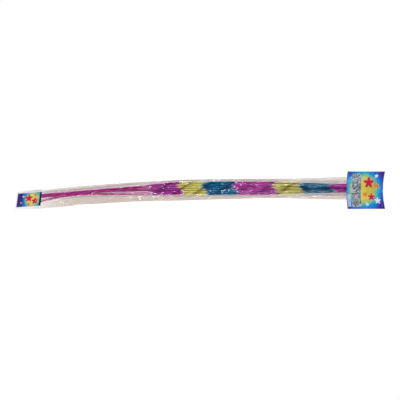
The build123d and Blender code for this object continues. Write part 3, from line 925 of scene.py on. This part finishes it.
def insert_print():
    """Violet to blue at the left, a yellow glow with red and orange stars, and a black stripe at the
    right."""
    s = Shader("insert_print")
    x, y = s.flat()
    colour = s.ramp(s.between(x, 0.0, INSERT_FADE_LENGTH), INSERT_FADE)
    away, _ = distance(s, x, y, INSERT_GLOW_MIDDLE, INSERT_GLOW_SIZE)
    glow = s.between(away, *INSERT_GLOW_RANGE, INSERT_GLOW_STRENGTH, 0.0)
    colour = s.mix(glow, colour, SUNNY)
    for middle, ink, radius in INSERT_STARS:
        colour = s.mix(star(s, x, y, middle, radius), colour, ink)
    colour = s.mix(panel(s, x, y, *STRIPE), colour, STRIPE_BLACK)
    return finish_print(s, colour)


def plain_board():
    """Uncoated grey-white side of the board, with fibres."""
    s = Shader("plain_board")
    fibres = s.noise(s.place(), BOARD_FIBRES, 5.0, 0.7)
    s.set(Base_Color=s.shades(fibres, *BOARD_SHADES), Roughness=s.spread(fibres, *BOARD_ROUGHNESS))
    s.set(Normal=s.bump(fibres, *BOARD_BUMP))
    return s.material


board = plain_board()
folded_card("header_board", "header_card", header_plan(), HEADER_GRID,
            lambda u, v: (u, v), [header_print(), board])
folded_card("insert_board", "insert_card", insert_plan(), INSERT_GRID,
            lambda u, v: (INSERT_ASPECT * (1 - u), v), [insert_print(), board])


def bamboo():
    """Split bamboo: long straight fibres with darker strands."""
    s = Shader("bamboo")
    grain = s.noise(s.stretched(s.place(), BAMBOO_GRAIN), 1.0, 4.0, 0.6)
    s.set(Base_Color=s.ramp(grain, BAMBOO), Roughness=s.spread(grain, *BAMBOO_ROUGHNESS))
    s.set(Normal=s.bump(grain, *BAMBOO_BUMP))
    return s.material


def composition():
    """Grey pressed powder with bright metal grains."""
    s = Shader("composition")
    lumps = s.noise(s.place(), POWDER_LUMPS, 4.0, 0.7)
    middles = s.cells(s.place(), METAL_GRAINS)["Distance"]
    grains = s.between(middles, 0.0, METAL_GRAIN_SIZE, 1.0, 0.0)
    s.set(Base_Color=s.mix(grains, s.shades(lumps, *POWDER_SHADES), METAL))
    s.set(Roughness=s.spread(lumps, *POWDER_ROUGHNESS), Normal=s.bump(lumps, *POWDER_BUMP))
    return s.material


def drawn_wire():
    """Bright drawn steel wire, streaked along its length."""
    s = Shader("drawn_wire")
    streaks = s.noise(s.stretched(s.place(), WIRE_STREAKS), 1.0, 3.0)
    s.set(Base_Color=s.shades(streaks, *WIRE_SHADES), Metallic=1.0)
    s.set(Roughness=s.spread(streaks, *WIRE_ROUGHNESS), Normal=s.bump(streaks, *WIRE_BUMP))
    return s.material


def dress(nodes, material):
    """Gives CAD nodes whose shape is right their finish."""
    for node in nodes:
        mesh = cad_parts[node].data
        for i in range(len(mesh.materials)):
            mesh.materials[i] = material


dress([f"{name}_stick" for name in SPARKLERS], bamboo())
dress([f"{name}_charge" for name in SPARKLERS], composition())
dress(["header_staples"], drawn_wire())


def make_floor():
    """White floor that keeps the object's soft shadow near it and glows white further out."""
    reach = FLOOR_REACH
    mesh = bpy.data.meshes.new("floor")
    corners = [(-reach, -reach, 0), (reach, -reach, 0), (reach, reach, 0), (-reach, reach, 0)]
    mesh.from_pydata(corners, [], [(0, 1, 2, 3)])
    floor = bpy.data.objects.new("floor", mesh)
    bpy.context.scene.collection.objects.link(floor)
    s = Shader("white_floor")
    s.set(Base_Color=FLOOR_WHITE, Roughness=FLOOR_ROUGHNESS)
    split = s.nodes.new("ShaderNodeSeparateXYZ")
    s.links.new(s.place(), split.inputs[0])
    away, _ = distance(s, split.outputs[0], split.outputs[1], (0.0, 0.0), SHADOW_REACH)
    path = s.nodes.new("ShaderNodeLightPath").outputs
    seen = s.math("MAXIMUM", path["Is Glossy Ray"], path["Is Transmission Ray"])
    seen = s.math("MAXIMUM", path["Is Camera Ray"], seen)
    glow = s.nodes.new("ShaderNodeEmission")
    s.cover(s.math("MULTIPLY", seen, s.between(away, *SHADOW_FADE)), glow)
    mesh.materials.append(s.material)


def make_studio():
    """Pale walls and a dark ceiling."""
    world = bpy.data.worlds.new("studio")
    bpy.context.scene.world = world
    world.use_nodes = True
    nodes, links = world.node_tree.nodes, world.node_tree.links
    sky = nodes.new("ShaderNodeSeparateXYZ")
    links.new(nodes.new("ShaderNodeTexCoord").outputs["Generated"], sky.inputs[0])
    level = nodes.new("ShaderNodeMapRange")
    links.new(sky.outputs["Z"], level.inputs[0])
    for socket, number in zip(list(level.inputs)[1:5], (*CEILING_EDGE, WALL_LIGHT, CEILING_LIGHT)):
        socket.default_value = number
    links.new(level.outputs[0], nodes["Background"].inputs["Strength"])
    nodes["Background"].inputs["Color"].default_value = (1, 1, 1, 1)


def make_lamps():
    """A long soft lamp on each side, turned to the middle of the pack."""
    for side in (-LAMP_SIDE, LAMP_SIDE):
        lamp = bpy.data.lights.new("strip_softbox", "AREA")
        lamp.shape = "RECTANGLE"
        lamp.size = LAMP_LENGTH
        lamp.size_y = LAMP_WIDTH
        lamp.energy = LAMP_POWER
        holder = bpy.data.objects.new("strip_softbox", lamp)
        holder.location = (0, side, LAMP_HEIGHT)
        holder.rotation_euler = (-holder.location).to_track_quat("-Z", "Y").to_euler()
        bpy.context.scene.collection.objects.link(holder)


def make_camera():
    """The camera straight above."""
    lens = bpy.data.cameras.new("camera")
    lens.sensor_width = SENSOR
    lens.lens = SENSOR * CAMERA_HEIGHT / VIEW_WIDTH
    camera = bpy.data.objects.new("camera", lens)
    camera.location = (0, -VIEW_BELOW, CAMERA_HEIGHT)
    bpy.context.scene.collection.objects.link(camera)
    bpy.context.scene.camera = camera
    bpy.context.scene.view_settings.view_transform = "Standard"


make_floor()
make_studio()
make_lamps()
make_camera()
